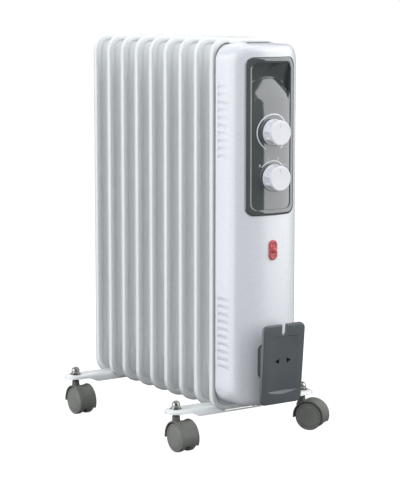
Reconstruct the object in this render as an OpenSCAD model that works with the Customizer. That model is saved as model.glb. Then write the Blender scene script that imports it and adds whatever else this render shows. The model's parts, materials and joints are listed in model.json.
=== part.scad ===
// Oil filled radiator heater on four twin-wheel casters.
// Millimetres, +Z up, -Y towards the control end. The origin is on the floor,
// midway between the four caster stems.

/* [Fins] */
// Number of fins
fin_count = 9; // [7:1:9]
// Distance from one fin to the next
fin_pitch = 41.3; // [40:0.1:44]
// Width of a fin
fin_width = 126; // [124:1:130]
// Height of a fin
fin_height = 560; // [555:1:570]
// Height of the fins above the floor
fin_bottom = 51.5; // [51.5:0.5:53.5]
// Corner radius of a fin
fin_corner = 27; // [22:1:32]
// Depth of the turned rim along the stack
rim_depth = 10; // [8:0.5:10]
// Thickness of the rim sheet
rim_sheet = 1; // [0.8:0.1:1.5]
// Thickness of the two welded sheets
web_sheet = 1.2; // [1:0.1:1.6]
// Thickness of the oil channel
channel_depth = 12; // [10:0.5:12]
// Width of the oil channel
channel_width = 80; // [70:1:90]
// Outer radius of the header collars
header_radius = 25; // [24:0.5:26]
// Distance of each header from the fin's end
header_inset = 50; // [48:1:54]

/* [Housing] */
// Width of the control housing
housing_width = 121; // [119:1:123]
// Height of the housing's underside
housing_bottom = 67; // [66:0.5:69]
// Height of the housing's top
housing_top = 602.5; // [600:0.5:605]
// Distance from the origin to the foremost line of the bowed front
housing_front = 229; // [227:0.5:231]
// Radius of the bowed front
bow_radius = 96; // [90:1:104]
// Radius between the front and the sides
edge_radius = 18; // [14:1:20]
// Corner radius of the housing seen from the front
housing_corner = 25; // [22:1:25]
// Sheet thickness of the housing
housing_sheet = 1.5; // [1.2:0.1:2]
// Slots in each vent
vent_slots = 10; // [6:1:10]
// Distance between vent slots
vent_pitch = 11.3; // [11:0.1:12]
// Height of one vent slot
vent_slot = 5.8; // [5:0.1:6]

/* [Controls] */
// Width of the control panel
panel_width = 88; // [86:1:90]
// Height of the panel's lower edge
panel_bottom = 352.5; // [350:0.5:355]
// Height of the panel's upper edge
panel_top = 584.5; // [582:0.5:586]
// Height of the thermostat's centre
thermostat_z = 474.5; // [472:0.5:477]
// Height of the selector's centre
selector_z = 408; // [404:0.5:411]
// Radius of a knob's skirt
knob_radius = 20; // [18:0.5:21]
// Length of a knob
knob_length = 18.8; // [17:0.1:19]
// Scallops around a knob
knob_scallops = 9; // [7:1:10]
// Radius of the spindles
spindle_radius = 3; // [2.5:0.1:3]
// Height of the pilot lamp's centre
lamp_z = 301; // [298:0.5:304]

/* [Cord winder] */
// Width of the winder plate
winder_width = 74.6; // [72:0.2:78]
// Height of the winder plate
winder_height = 121; // [116:1:122]
// Lean of the plate, top outwards, in degrees
winder_lean = 4; // [2:0.5:5]
// Bore radius of the cord gland
gland_bore = 3.75; // [3.5:0.05:4]

/* [Feet] */
// Distance between the stems of one bracket
stem_span = 236.2; // [234:0.1:240]
// Distance from the origin to each bracket
bracket_y = 148.25; // [148:0.05:148.5]
// Width of a foot bracket
bracket_width = 35; // [34:0.5:35]
// Height of a bracket's top face
bracket_top = 61.5; // [61:0.1:61.5]
// Radius of a caster wheel
wheel_radius = 21.9; // [21.2:0.1:22]
// Width of a caster wheel
wheel_width = 11.6; // [11:0.1:12]
// Distance from the stem to the axle
caster_trail = 16; // [15:0.5:17]
// Swivel of the front right caster, in degrees
turned_caster = 32; // [0:1:90]

/* [Hidden] */
$fn = 48;
joint_gap = 0.05;
hair = 0.02;
seat_gap = 0.3;
stem_radius = 3.5;
axle_radius = 3;
port_radius = 20;
skin = web_sheet / 2;
first_fin_y = -4 * fin_pitch + 6.7;
upper_header_z = fin_bottom + fin_height - header_inset;
lower_header_z = fin_bottom + header_inset;
collar_seat = channel_depth / 2;
boss_front = first_fin_y - collar_seat - 3.5;
plate_sheet = 1.2;
housing_back = boss_front;
plug_face = boss_front - plate_sheet - 2;
front = -housing_front;
slot_len = 27;
slot_back = housing_back - 6;
upper_vent_top = 541.2;
lower_vent_top = 227.1;
case_screw_x = housing_width / 2 - 5;
case_screw_levels = [91.5, 579.5];
panel_corner = 13;
bezel_width = 9;
bezel_corner = 10;
panel_lip = 1.5;
panel_sheet = 2.4;
pocket_half = 34.5;
pocket_top = 578.5;
pocket_roof = 566.5;
pocket_knee = 557.5;
pocket_foot = 519.5;
pocket_depth = 16;
scallop_radius = 9;
scallop_depth = 1.8;
knob_base = front - 0.6;
winder_mid_z = 134;
winder_sheet = 6;
winder_taper = 0.00036;
winder_dish_depth = 2.8;
winder_face = front - 27.7;
winder_screw_levels = [123.5, 155.5];
core_width = 46;
core_low = 110.5;
core_high = 160.5;
core_rear = front + 4.4;
gland_y = -192;
flange_bottom = 49;
flange_end = 55.5;
bracket_sheet = 2;
notch_clear = 0.3;
bolt_leg = header_radius + 3.1;
bolt_radius = 2.5;
front_bolt_y = fin_y(0) + 15.5;
rear_bolt_y = fin_y(fin_count - 2) + 20;
hood_radius = 25.5;
hood_clear = 22.9;
hood_half = 14.8;
web_half = 2;
neck_radius = 5.8;
neck_top = 51.3;
stem_low = 40.2;
stem_high = 70.5;
caster_spots = [
  [-stem_span / 2, -bracket_y, 0],
  [stem_span / 2, -bracket_y, turned_caster],
  [-stem_span / 2, bracket_y, 0],
  [stem_span / 2, bracket_y, 0]
];

caster_names = ["front_left", "front_right", "rear_left", "rear_right"];

// ---------------------------------------------------------------- geometry

function fin_y(i) = first_fin_y + i * fin_pitch;

// Points of a rounded rectangle, centred on x and running from low to high
function rounded_points(w, low, high, r, n = 9) = [
  for (c = [[1, low + r, -90], [1, high - r, 0], [-1, high - r, 90], [-1, low + r, 180]])
    for (k = [0:n])
      [c[0] * (w / 2 - r) + r * cos(c[2] + 90 * k / n), c[1] + r * sin(c[2] + 90 * k / n)]
];

// How far the bowed front falls back at a distance x from the centre line
function bow_fall(x, r) = r - sqrt(r * r - x * x);

// Plan of the housing, inset by d: straight sides, rounded edges, bowed front
function housing_plan(d, n = 8) =
  let (
    half = housing_width / 2 - d,
    big = bow_radius - d,
    small = edge_radius - d,
    cy = front + bow_radius,
    lean = asin((half - small) / (big - small)),
    ex = half - small,
    ey = cy - (big - small) * cos(lean)
  )
  concat(
    [[half, housing_back + 1]],
    [for (k = [0:n]) [ex + small * cos(-k * (90 - lean) / n), ey + small * sin(-k * (90 - lean) / n)]],
    [for (k = [1:2 * n - 1])
      let (a = -90 + lean - k * lean / n) [big * cos(a), cy + big * sin(a)]],
    [for (k = [n:-1:0]) [-ex - small * cos(-k * (90 - lean) / n), ey + small * sin(-k * (90 - lean) / n)]],
    [[-half, housing_back + 1]]
  );

// Side view of the housing, inset by d: rounded upper and lower front edges
function housing_side(d, n = 7) =
  let (r = edge_radius - 4 - d, f = front + d, low = housing_bottom + d, high = housing_top - d)
  concat(
    [[housing_back + 1, low]],
    [for (k = [0:n]) [f + r - r * sin(90 * k / n), low + r - r * cos(90 * k / n)]],
    [for (k = [0:n]) [f + r - r * cos(90 * k / n), high - r + r * sin(90 * k / n)]],
    [[housing_back + 1, high]]
  );

// Extrudes an x-z outline along y, from y0 to y1
module slab(y0, y1) {
  translate([0, y1, 0]) rotate([90, 0, 0]) linear_extrude(y1 - y0) children();
}

// Extrudes a y-z outline along x, from x0 to x1
module across(x0, x1) {
  translate([x0, 0, 0]) rotate([90, 0, 90]) linear_extrude(x1 - x0) children();
}

module rounded(w, low, high, r) {
  polygon(rounded_points(w, low, high, r));
}

// A cylinder along y, from y0 to y1
module rod_y(x, z, r, y0, y1) {
  translate([x, y1, z]) rotate([90, 0, 0]) cylinder(r = r, h = y1 - y0);
}

// A cylinder along x, from x0 to x1
module rod_x(y, z, r, x0, x1) {
  translate([x0, y, z]) rotate([0, 90, 0]) cylinder(r = r, h = x1 - x0);
}

// A pan-head screw along y: head at y, shank towards sign
module screw_y(x, z, y, sign, shank, length) {
  low = sign > 0 ? y : y - length;
  rod_y(x, z, shank, low, low + length);
  rod_y(x, z, shank * 1.9, sign > 0 ? y - 1.6 : y, sign > 0 ? y : y + 1.6);
}

// ---------------------------------------------------------------- radiator

module fin_outline(d) {
  rounded(fin_width - 2 * d, fin_bottom + d, fin_bottom + fin_height - d, fin_corner - d);
}

module channel_outline(d) {
  wide = channel_width / 2 - d;
  slim = 24 - d;
  polygon([
    [-slim, lower_header_z], [slim, lower_header_z], [wide, lower_header_z + 44],
    [wide, upper_header_z - 44], [slim, upper_header_z], [-slim, upper_header_z],
    [-wide, upper_header_z - 44], [-wide, lower_header_z + 44]
  ]);
  for (z = [lower_header_z, upper_header_z]) translate([0, z]) circle(r = 28 - d);
}

// One fin: two embossed sheets with an oil channel between them and a turned rim
module fin(i) {
  y = fin_y(i);
  half = channel_depth / 2;
  color("whitesmoke") difference() {
    union() {
      slab(y - rim_depth / 2, y + rim_depth / 2) difference() {
        fin_outline(0);
        fin_outline(rim_sheet);
      }
      slab(y - web_sheet / 2, y + web_sheet / 2) fin_outline(rim_sheet / 2);
      slab(y - half, y + half) channel_outline(0);
      if (i == 0) rod_y(0, lower_header_z, header_radius, boss_front, y);
    }
    slab(y - half + skin, y + half - skin) channel_outline(skin);
    if (i > 0) rod_y(0, upper_header_z, port_radius, y - half - 1, y);
    if (i < fin_count - 1) rod_y(0, upper_header_z, port_radius, y, y + half + 1);
    if (i == fin_count - 1) rod_y(0, upper_header_z, 5, y, y + half + 1);
    rod_y(0, lower_header_z, port_radius, i == 0 ? boss_front - 1 : y - half - 1, y);
    if (i < fin_count - 1) rod_y(0, lower_header_z, port_radius, y, y + half + 1);
  }
}

// The welded collars that join each fin to the next
module header_collars(z) {
  color("gainsboro") for (i = [0:fin_count - 2]) {
    difference() {
      rod_y(0, z, header_radius, fin_y(i) + collar_seat, fin_y(i + 1) - collar_seat);
      rod_y(0, z, port_radius, fin_y(i), fin_y(i + 1));
    }
  }
}

module filler_plug() {
  rear = fin_y(fin_count - 1) + collar_seat;
  color("silver") {
    rod_y(0, upper_header_z, 5 - hair, rear - 5, rear);
    translate([0, rear + 4, upper_header_z]) rotate([90, 0, 0]) cylinder(r = 8, h = 4, $fn = 6);
  }
}

// Hairpin sheath that lies in the oil of the lower header
module heating_element() {
  tail = fin_y(fin_count - 2);
  color("dimgray") {
    for (s = [-1, 1]) rod_y(0, lower_header_z + s * 9, 4.25, plug_face - 14, tail);
    translate([0, tail, lower_header_z]) rotate([0, 90, 0])
      rotate_extrude(angle = 180) translate([9, 0]) circle(r = 4.25);
  }
}

// Screwed plug that closes the lower header and carries the element
module element_plug() {
  color("goldenrod") difference() {
    union() {
      rod_y(0, lower_header_z, port_radius - joint_gap, plug_face, boss_front + 8);
      translate([0, plug_face, lower_header_z]) rotate([90, 0, 0]) cylinder(r = 29, h = 6, $fn = 6);
    }
    for (s = [-1, 1]) rod_y(0, lower_header_z + s * 9, 4.25 + hair, plug_face - 7, boss_front + 9);
  }
}

module element_gasket() {
  color("darkorange") difference() {
    rod_y(0, lower_header_z, header_radius - 1, plug_face, plug_face + 2);
    rod_y(0, lower_header_z, port_radius + joint_gap, plug_face - 1, plug_face + 3);
  }
}

module element_terminals() {
  tip = plug_face - 14;
  color("ivory") for (s = [-1, 1]) {
    rod_y(0, lower_header_z + s * 9, 4, tip - 5, tip);
    translate([-3.15, tip - 15, lower_header_z + s * 9 - 0.4]) cube([6.3, 10.5, 0.8]);
  }
}

// ---------------------------------------------------------------- housing

// Solid of the housing's outer or inner surface
module housing_solid(d) {
  intersection() {
    translate([0, 0, housing_bottom + d])
      linear_extrude(housing_top - housing_bottom - 2 * d) polygon(housing_plan(d));
    across(-housing_width, housing_width) polygon(housing_side(d));
    slab(-housing_front - 1, housing_back + 1)
      rounded(housing_width - 2 * d, housing_bottom + d, housing_top - d, housing_corner - d);
  }
}

// Slots and louvre blades of one vent on side s
module vent_slots_at(s, top) {
  for (k = [0:vent_slots - 1])
    translate([s * housing_width / 2 - 4, slot_back - slot_len, top - k * vent_pitch - vent_slot])
      cube([8, slot_len, vent_slot]);
}

module louvre_blades_at(s, top) {
  for (k = [0:vent_slots - 1])
    translate([s * (housing_width / 2 - 2.4), slot_back - slot_len - 0.5,
               top - k * vent_pitch - vent_slot / 2])
      rotate([0, s * 38, 0]) translate([-4, 0, -0.5]) cube([8, slot_len + 1, 1]);
}

module housing_shell() {
  color("white") difference() {
    union() {
      difference() {
        housing_solid(0);
        housing_solid(housing_sheet);
        for (s = [-1, 1], top = [upper_vent_top, lower_vent_top]) vent_slots_at(s, top);
      }
      intersection() {
        housing_solid(0);
        for (s = [-1, 1], top = [upper_vent_top, lower_vent_top]) louvre_blades_at(s, top);
      }
      for (s = [-1, 1], z = case_screw_levels)
        rod_y(s * case_screw_x, z, 4.5, housing_back - 26, housing_back - plate_sheet);
    }
    slab(housing_back - hair, 0) square([2 * housing_width, 2 * housing_top], center = true);
    slab(-housing_front - 1, -housing_front + 40)
      rounded(panel_width - 3.6, panel_bottom + 1.8, panel_top - 1.8, panel_corner - 1.8);
    slab(-housing_front - 1, -housing_front + 10) rounded(12, lamp_z - 13.8, lamp_z + 13.8, 5.9);
    for (s = [-1, 1], z = case_screw_levels)
      rod_y(s * case_screw_x, z, 1.4, housing_back - 22, housing_back);
    for (z = winder_screw_levels) rod_y(0, z, 2.2, front - 1, front + 6);
    translate([0, gland_y, housing_bottom - 1]) cylinder(r = 8 + joint_gap, h = 4);
  }
}

module housing_back_plate() {
  color("lightgray") difference() {
    slab(housing_back - plate_sheet, housing_back - hair)
      rounded(housing_width - 2 * housing_sheet - 0.4, housing_bottom + housing_sheet + 0.2,
              housing_top - housing_sheet - 0.2, housing_corner - housing_sheet - 0.2);
    rod_y(0, lower_header_z, port_radius + joint_gap, housing_back - 3, housing_back + 1);
    for (s = [-1, 1], z = case_screw_levels)
      rod_y(s * case_screw_x, z, 1.8, housing_back - 3, housing_back + 1);
  }
}

// Thin clip that lies on the housing's top and reaches under the first fin's rim
module top_clip() {
  tip = fin_y(0) - web_sheet / 2 - seat_gap;
  color("white") {
    translate([-33, -176, housing_top]) cube([22, tip + 176, 1.6]);
    translate([-33, tip - 2, housing_top + 1.4])
      cube([22, 1.5, fin_bottom + fin_height - rim_sheet - seat_gap - housing_top - 1.4]);
  }
}

module housing_screws() {
  color("silver") for (s = [-1, 1], z = case_screw_levels)
    screw_y(s * case_screw_x, z, housing_back, -1, 1.38, 16);
}

// ---------------------------------------------------------------- controls

// Everything between two surfaces that run parallel to the bowed front
module bowed_layer(outer, inner) {
  cy = front + bow_radius;
  translate([0, cy, 300]) linear_extrude(600, center = true) difference() {
    circle(r = bow_radius + outer, $fn = 180);
    circle(r = bow_radius - inner, $fn = 180);
  }
}

// The hand pocket's hollow, or its outside when grown by d
module pocket_space(d) {
  across(-pocket_half - d, pocket_half + d) polygon([
    [front - 4, pocket_foot - d], [front + 1.5, pocket_foot - d],
    [front + pocket_depth + d, pocket_knee - d], [front + pocket_depth + d, pocket_roof + d],
    [front + 5 + d, pocket_top + d], [front - 4, pocket_top + d]
  ]);
}

module control_panel() {
  color("slategray") difference() {
    union() {
      intersection() {
        bowed_layer(panel_lip, -hair);
        slab(front - 10, front + 30) difference() {
          rounded(panel_width, panel_bottom, panel_top, panel_corner);
          rounded(panel_width - 2 * bezel_width, panel_bottom + bezel_width,
                  panel_top - bezel_width, bezel_corner);
        }
      }
      intersection() {
        bowed_layer(0.2, panel_sheet);
        slab(front - 10, front + 30)
          rounded(panel_width - 4, panel_bottom + 2, panel_top - 2, panel_corner - 2);
      }
      intersection() {
        pocket_space(2);
        bowed_layer(0, 60);
        translate([-60, front, pocket_foot]) cube([120, pocket_depth + 2, 80]);
      }
    }
    pocket_space(0);
    for (z = [thermostat_z, selector_z]) {
      rod_y(0, z, spindle_radius + 0.5, front - 5, front + 10);
      for (s = [-1, 1]) {
        rod_y(s * 14, z, 1.6, front - 5, front + 10);
        rod_y(s * 14, z, 3.3, front - 5, front + 2);
      }
    }
  }
}

module control_screws() {
  color("silver") for (z = [thermostat_z, selector_z], s = [-1, 1])
    screw_y(s * 14, z, front + 2, 1, 1.5, 8);
}

// Switch or thermostat body behind the panel, with a bush for the spindle
module control_body(z, w, h, depth) {
  rear = front + 7 + depth;
  difference() {
    union() {
      slab(front + 7, rear) rounded(w, z - h / 2, z + h / 2, 3);
      rod_y(0, z, 6, front + panel_sheet + seat_gap, front + 7.5);
      for (s = [-1, 1])
        rod_y(s * 14, z, 3.5, front + panel_sheet + bow_fall(19, bow_radius), front + 7.5);
    }
    rod_y(0, z, spindle_radius + joint_gap, front, front + 24);
    for (s = [-1, 1]) rod_y(s * 14, z, 1.52, front, front + 14);
  }
}

module thermostat_body() {
  color("sienna") control_body(thermostat_z, 36, 40, 24);
}

module selector_switch_body() {
  color("saddlebrown") control_body(selector_z, 36, 30, 26);
}

// Scalloped knob with a raised pointer, centred at height z
module knob(z) {
  tip = knob_base - knob_length;
  color("white") difference() {
    union() {
      translate([0, knob_base, z]) rotate([90, 0, 0]) rotate_extrude() polygon([
        [0, 0], [knob_radius, 0], [knob_radius - 0.6, knob_length - 2.6],
        [knob_radius - 1.4, knob_length - 1], [knob_radius - 3.2, knob_length], [0, knob_length]
      ]);
      translate([-0.9, tip - 0.6, z + 7]) cube([1.8, 2, 9]);
    }
    for (k = [0:knob_scallops - 1])
      rotate_about(z, 90 + (k + 0.5) * 360 / knob_scallops)
        rod_y(knob_radius + scallop_radius - scallop_depth, 0, scallop_radius, tip - 2, knob_base - 2.5);
    rod_y(0, z, spindle_radius + hair, tip + 3, knob_base + 1);
  }
}

// Turns a shape about the line y through height z
module rotate_about(z, angle) {
  translate([0, 0, z]) rotate([0, angle, 0]) children();
}

module spindle(z) {
  color("silver") rod_y(0, z, spindle_radius, knob_base - knob_length + 3.2, front + 22);
}

module thermal_cutout() {
  x = 28;
  z = 191.5;
  back = housing_back - plate_sheet;
  color("black") {
    rod_y(x, z, 8, back - 7, back);
    for (s = [-1, 1]) translate([x + s * 4 - 2, back - 14, z - 0.4]) cube([4, 8, 0.8]);
  }
}

module tilt_switch() {
  color("black") {
    translate([-34, -212, housing_bottom + housing_sheet]) cube([14, 26, 22]);
    for (s = [-1, 1]) translate([-28, -199 + s * 6 - 2, housing_bottom + 23]) cube([0.8, 4, 8]);
  }
}

module terminal_block() {
  back = housing_back - plate_sheet;
  color("ivory") difference() {
    translate([-21, back - 17, 240]) cube([42, 17, 20]);
    for (x = [-14, 0, 14]) {
      translate([x, back - 9, 239]) cylinder(r = 3, h = 22);
      rod_y(x, 246, 2, back - 18, back - 9);
      rod_y(x, 254, 2, back - 18, back - 9);
    }
  }
}

module pilot_lamp_lens() {
  color("crimson") difference() {
    union() {
      slab(front - 3, front - 0.4) rounded(14.4, lamp_z - 15, lamp_z + 15, 7.1);
      slab(front - 1, front + 12) rounded(11.4, lamp_z - 13.5, lamp_z + 13.5, 5.6);
      intersection() {
        translate([0, front - 1, lamp_z]) sphere(r = 5);
        translate([-8, front - 8, lamp_z - 8]) cube([16, 7, 16]);
      }
    }
    slab(front + 1, front + 13) rounded(9, lamp_z - 11, lamp_z + 11, 4.4);
  }
}

module pilot_lamp() {
  color("orange") {
    rod_y(0, lamp_z, 3.6, front + 3, front + 16);
    translate([-4.5, front + 16, lamp_z - 8]) cube([9, 12, 16]);
  }
}

// ---------------------------------------------------------------- cord parts

module cord_gland() {
  color("dimgray") translate([0, gland_y, 0]) difference() {
    union() {
      translate([0, 0, housing_bottom - 5]) cylinder(r = 11, h = 5);
      translate([0, 0, housing_bottom - 1]) cylinder(r = 8, h = 14);
    }
    translate([0, 0, housing_bottom - 6]) cylinder(r = gland_bore, h = 20);
  }
}

// Places a shape drawn upright at the origin in the winder plate's leaning frame
module in_winder_plate() {
  translate([0, winder_face, winder_mid_z]) rotate([winder_lean, 0, 0]) children();
}

module winder_outline() {
  half = winder_height / 2;
  difference() {
    polygon([for (p = rounded_points(winder_width, -half, half, 9))
      [p[0] * (1 + winder_taper * p[1]), p[1]]]);
    translate([-3.75, half - 12.5]) square([7.5, 20]);
    translate([0, half - 12.5]) circle(r = 3.75);
  }
}

// Shallow dish between two wide arcs
module winder_dish() {
  intersection() {
    translate([0, -54]) circle(r = 98, $fn = 120);
    translate([0, 61]) circle(r = 106, $fn = 120);
    square([54, 120], center = true);
  }
}

// Two tapered holes that park the plug's pins
module pin_holes() {
  for (s = [-1, 1]) polygon([[s * 6.2, 0], [s * 6.2, 10], [s * 15.2, 5]]);
}

module cord_winder() {
  color("darkslategray") difference() {
    union() {
      in_winder_plate() slab(0, winder_sheet) winder_outline();
      difference() {
        slab(winder_face + 3, core_rear) rounded(core_width, core_low, core_high, 8);
        slab(winder_face, core_rear + 1) rounded(core_width - 5, core_low + 2.5, core_high - 2.5, 5.5);
      }
      for (z = winder_screw_levels) rod_y(0, z, 4, winder_face + 3, front - 0.4);
    }
    in_winder_plate() slab(-1, winder_dish_depth) winder_dish();
    in_winder_plate() slab(-1, winder_sheet + 1) pin_holes();
    in_winder_plate() slab(-9, 0) square(200, center = true);
    intersection() {
      translate([-60, front - 0.3, 60]) cube([120, 20, 180]);
      bowed_layer(0.3, 60);
    }
    for (z = winder_screw_levels) rod_y(0, z, 1.4, front - 11, front + 1);
  }
}

module winder_screws() {
  color("silver") for (z = winder_screw_levels)
    screw_y(0, z, front + housing_sheet + seat_gap, -1, 1.38, 11);
}

// ---------------------------------------------------------------- feet

// Pressed channel across the stack; fin_index is the fin whose rim it is notched for
module foot_bracket(y, fin_index, bolt_y) {
  reach = stem_span + bracket_width;
  fin_mid = fin_y(fin_index);
  low = fin_mid - rim_depth / 2 - notch_clear;
  translate([0, y, 0]) color("white") difference() {
    translate([0, 0, flange_bottom]) linear_extrude(bracket_top - flange_bottom)
      rounded(reach, -bracket_width / 2, bracket_width / 2, bracket_width / 2 - hair);
    translate([0, 0, flange_bottom - 1]) linear_extrude(bracket_top - bracket_sheet - flange_bottom + 1)
      rounded(reach - 2 * bracket_sheet, bracket_sheet - bracket_width / 2,
              bracket_width / 2 - bracket_sheet, bracket_width / 2 - bracket_sheet - hair);
    slab(-50, 50) for (s = [-1, 1])
      polygon([[s * 84, flange_bottom - 1], [s * 103, flange_end], [s * 150, flange_end],
               [s * 150, flange_bottom - 1]]);
    for (s = [-1, 1]) {
      translate([s * stem_span / 2, 0, flange_bottom - 4]) cylinder(r = stem_radius + joint_gap, h = 30);
      translate([s * bolt_leg, bolt_y - y, flange_bottom - 4]) cylinder(r = bolt_radius + 0.2, h = 30);
    }
    slab(low - y - 20, low - y + rim_depth + 2 * notch_clear) fin_outline(-notch_clear);
  }
}

module u_bolt(y) {
  color("silver") {
    for (s = [-1, 1]) translate([s * bolt_leg, y, flange_bottom - 3])
      cylinder(r = bolt_radius, h = lower_header_z - flange_bottom + 3);
    translate([0, y, lower_header_z]) rotate([90, 0, 0])
      rotate_extrude(angle = 180) translate([bolt_leg, 0]) circle(r = bolt_radius);
  }
}

module wing_nuts() {
  seat = bracket_top - bracket_sheet;
  color("silver") for (y = [front_bolt_y, rear_bolt_y], s = [-1, 1])
    translate([s * bolt_leg, y, 0]) difference() {
      union() {
        translate([0, 0, seat - 6]) cylinder(r = 4.4, h = 6);
        translate([-12, -0.9, seat - 9]) cube([24, 1.8, 8]);
      }
      translate([0, 0, seat - 12]) cylinder(r = bolt_radius + hair, h = 14);
    }
}

// Threaded stud with a hexagonal shoulder under the bracket
module caster_stems() {
  color("dimgray") for (c = caster_spots) translate([c[0], c[1], 0]) {
    translate([0, 0, stem_low]) cylinder(r = stem_radius, h = stem_high - stem_low);
    translate([0, 0, neck_top + seat_gap]) cylinder(r = 4.2, h = 3);
    translate([0, 0, 54.5]) cylinder(r = 6.4, h = bracket_top - bracket_sheet - 54.5, $fn = 6);
  }
}

// Domed hexagonal nuts on top of the brackets
module cap_nuts() {
  color("silver") for (c = caster_spots) translate([c[0], c[1], bracket_top]) difference() {
    union() {
      cylinder(r = 7.4, h = 5.5, $fn = 6);
      rotate_extrude() polygon(concat(
        [[0, 5], [6, 5]], [for (k = [0:8]) [6 * cos(k * 11.25), 6.5 + 6 * sin(k * 11.25)]]));
    }
    translate([0, 0, -1]) cylinder(r = stem_radius + hair, h = stem_high - bracket_top + 1.5);
  }
}

// ---------------------------------------------------------------- casters

module at_caster(k) {
  spot = caster_spots[k];
  translate([spot[0], spot[1], 0]) rotate([0, 0, spot[2]]) children();
}

// Cover of one twin-wheel caster with its stem socket
module caster_hood(k) {
  color("dimgray") at_caster(k) difference() {
    union() {
      difference() {
        union() {
          rod_x(-caster_trail, wheel_radius, hood_radius, -hood_half, hood_half);
          translate([0, 0, 30]) cylinder(r = neck_radius, h = neck_top - 30);
        }
        for (s = [-1, 1])
          rod_x(-caster_trail, wheel_radius, hood_clear, s > 0 ? web_half : -20, s > 0 ? 20 : -web_half);
        across(-20, 20) polygon([
          [-60, -5], [-60, wheel_radius - 10], [-caster_trail, wheel_radius - 6],
          [20, wheel_radius - 3], [20, -5]
        ]);
      }
      rod_x(-caster_trail, wheel_radius, 7, -web_half, web_half);
    }
    rod_x(-caster_trail, wheel_radius, axle_radius + hair, -20, 20);
    translate([0, 0, stem_low - 0.4]) cylinder(r = stem_radius + joint_gap, h = 30);
  }
}

module caster_axle(k) {
  color("silver") at_caster(k) rod_x(-caster_trail, wheel_radius, axle_radius, -11.5, 11.5);
}

// One wheel; side is -1 or 1 along the axle
module caster_wheel(k, side) {
  inner = web_half + 0.5;
  color("gray") at_caster(k)
    translate([side * inner, -caster_trail, wheel_radius]) rotate([0, side * 90, 0])
      rotate_extrude() polygon([
        [axle_radius + joint_gap, 0], [wheel_radius - 1.2, 0], [wheel_radius, 1.2],
        [wheel_radius, wheel_width - 2.2], [wheel_radius - 1.6, wheel_width - 0.4],
        [16, wheel_width], [15.4, wheel_width - 0.8], [14.8, wheel_width],
        [0, wheel_width + 0.4], [0, 9.4], [axle_radius + joint_gap, 9.4]
      ]);
}

// ---------------------------------------------------------------- assembly

for (i = [0:fin_count - 1])
  fin(i);
header_collars(upper_header_z);  // upper_header_collars
header_collars(lower_header_z);  // lower_header_collars
filler_plug();
heating_element();
element_plug();
element_gasket();
element_terminals();
housing_shell();
housing_back_plate();
top_clip();
housing_screws();
control_panel();
control_screws();
thermostat_body();
selector_switch_body();
thermal_cutout();
tilt_switch();
terminal_block();
pilot_lamp_lens();
pilot_lamp();
cord_gland();
cord_winder();
winder_screws();
knob(thermostat_z);  // thermostat_knob
spindle(thermostat_z);  // thermostat_spindle
knob(selector_z);  // selector_knob
spindle(selector_z);  // selector_spindle
foot_bracket(-bracket_y, 0, front_bolt_y);  // front_foot_bracket
foot_bracket(bracket_y, fin_count - 2, rear_bolt_y);  // rear_foot_bracket
u_bolt(front_bolt_y);  // front_u_bolt
u_bolt(rear_bolt_y);  // rear_u_bolt
wing_nuts();
caster_stems();
cap_nuts();
for (k = [0:3]) {
  caster_hood(k);
  caster_axle(k);
  caster_wheel(k, -1);
  caster_wheel(k, 1);
}
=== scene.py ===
"""Oil filled radiator heater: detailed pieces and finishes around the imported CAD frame.

Lengths in this script are millimetres until they become vertices; MM turns them into metres.
"""
import json
import math

import bmesh
import bpy
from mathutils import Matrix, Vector


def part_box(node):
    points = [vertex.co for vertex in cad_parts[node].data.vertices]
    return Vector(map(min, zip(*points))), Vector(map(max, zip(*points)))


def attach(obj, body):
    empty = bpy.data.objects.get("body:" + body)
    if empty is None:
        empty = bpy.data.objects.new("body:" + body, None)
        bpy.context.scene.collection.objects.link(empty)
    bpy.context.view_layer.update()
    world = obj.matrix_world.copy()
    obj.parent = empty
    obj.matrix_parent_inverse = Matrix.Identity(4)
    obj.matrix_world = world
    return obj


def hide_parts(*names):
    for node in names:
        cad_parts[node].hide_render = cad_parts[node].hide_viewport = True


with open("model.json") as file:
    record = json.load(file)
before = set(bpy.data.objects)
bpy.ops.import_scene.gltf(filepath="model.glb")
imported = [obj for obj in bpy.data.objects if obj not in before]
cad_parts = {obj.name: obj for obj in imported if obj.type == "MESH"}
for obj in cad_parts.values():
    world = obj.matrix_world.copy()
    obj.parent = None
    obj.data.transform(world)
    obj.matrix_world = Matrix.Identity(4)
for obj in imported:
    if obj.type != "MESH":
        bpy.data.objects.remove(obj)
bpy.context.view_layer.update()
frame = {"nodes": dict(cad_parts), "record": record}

MM = 0.001

# ------------------------------------------------------------------ places in the row frame

FIN_COUNT = 9
FIN_HALF_WIDTH = 63.0
FIN_LOW = 51.5
FIN_HIGH = 611.5
FIN_CORNER = 27.0
HEADER_LOW = 101.5
CHANNEL_OUT = 6.0

FRONT = -229.0
BOW_RADIUS = 96.0
BOW_CENTRE = FRONT + BOW_RADIUS

PANEL_HALF = 44.0
PANEL_LOW = 352.5
PANEL_HIGH = 584.5
PANEL_CORNER = 13.0

HOUSING_HALF = 60.5
HOUSING_LOW = 67.0
HOUSING_HIGH = 602.5
HOUSING_CORNER = 25.0
HOUSING_BACK = -168.0
VENT_TOPS = (541.2, 227.1)
VENT_SLOTS = 10
VENT_PITCH = 11.3
VENT_SLOT = 5.8
VENT_SPAN = (-201.0, -174.0)

KNOB_BASE = FRONT - 0.6
THERMOSTAT_Z = 474.5
SELECTOR_Z = 408.0

LAMP_Z = 301.0

WINDER_FACE = FRONT - 27.7
WINDER_MID_Z = 134.0
WINDER_LEAN = math.radians(4)
WINDER_HALF_W = 37.3
WINDER_TAPER = 0.00036
WINDER_HALF_H = 60.5
WINDER_SHEET = 6.0

BRACKET_Y = 148.25
STEM_X = 118.1
BRACKET_TOP = 61.5
BRACKET_LOW = 49.0
BRACKET_HALF = 17.5

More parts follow.
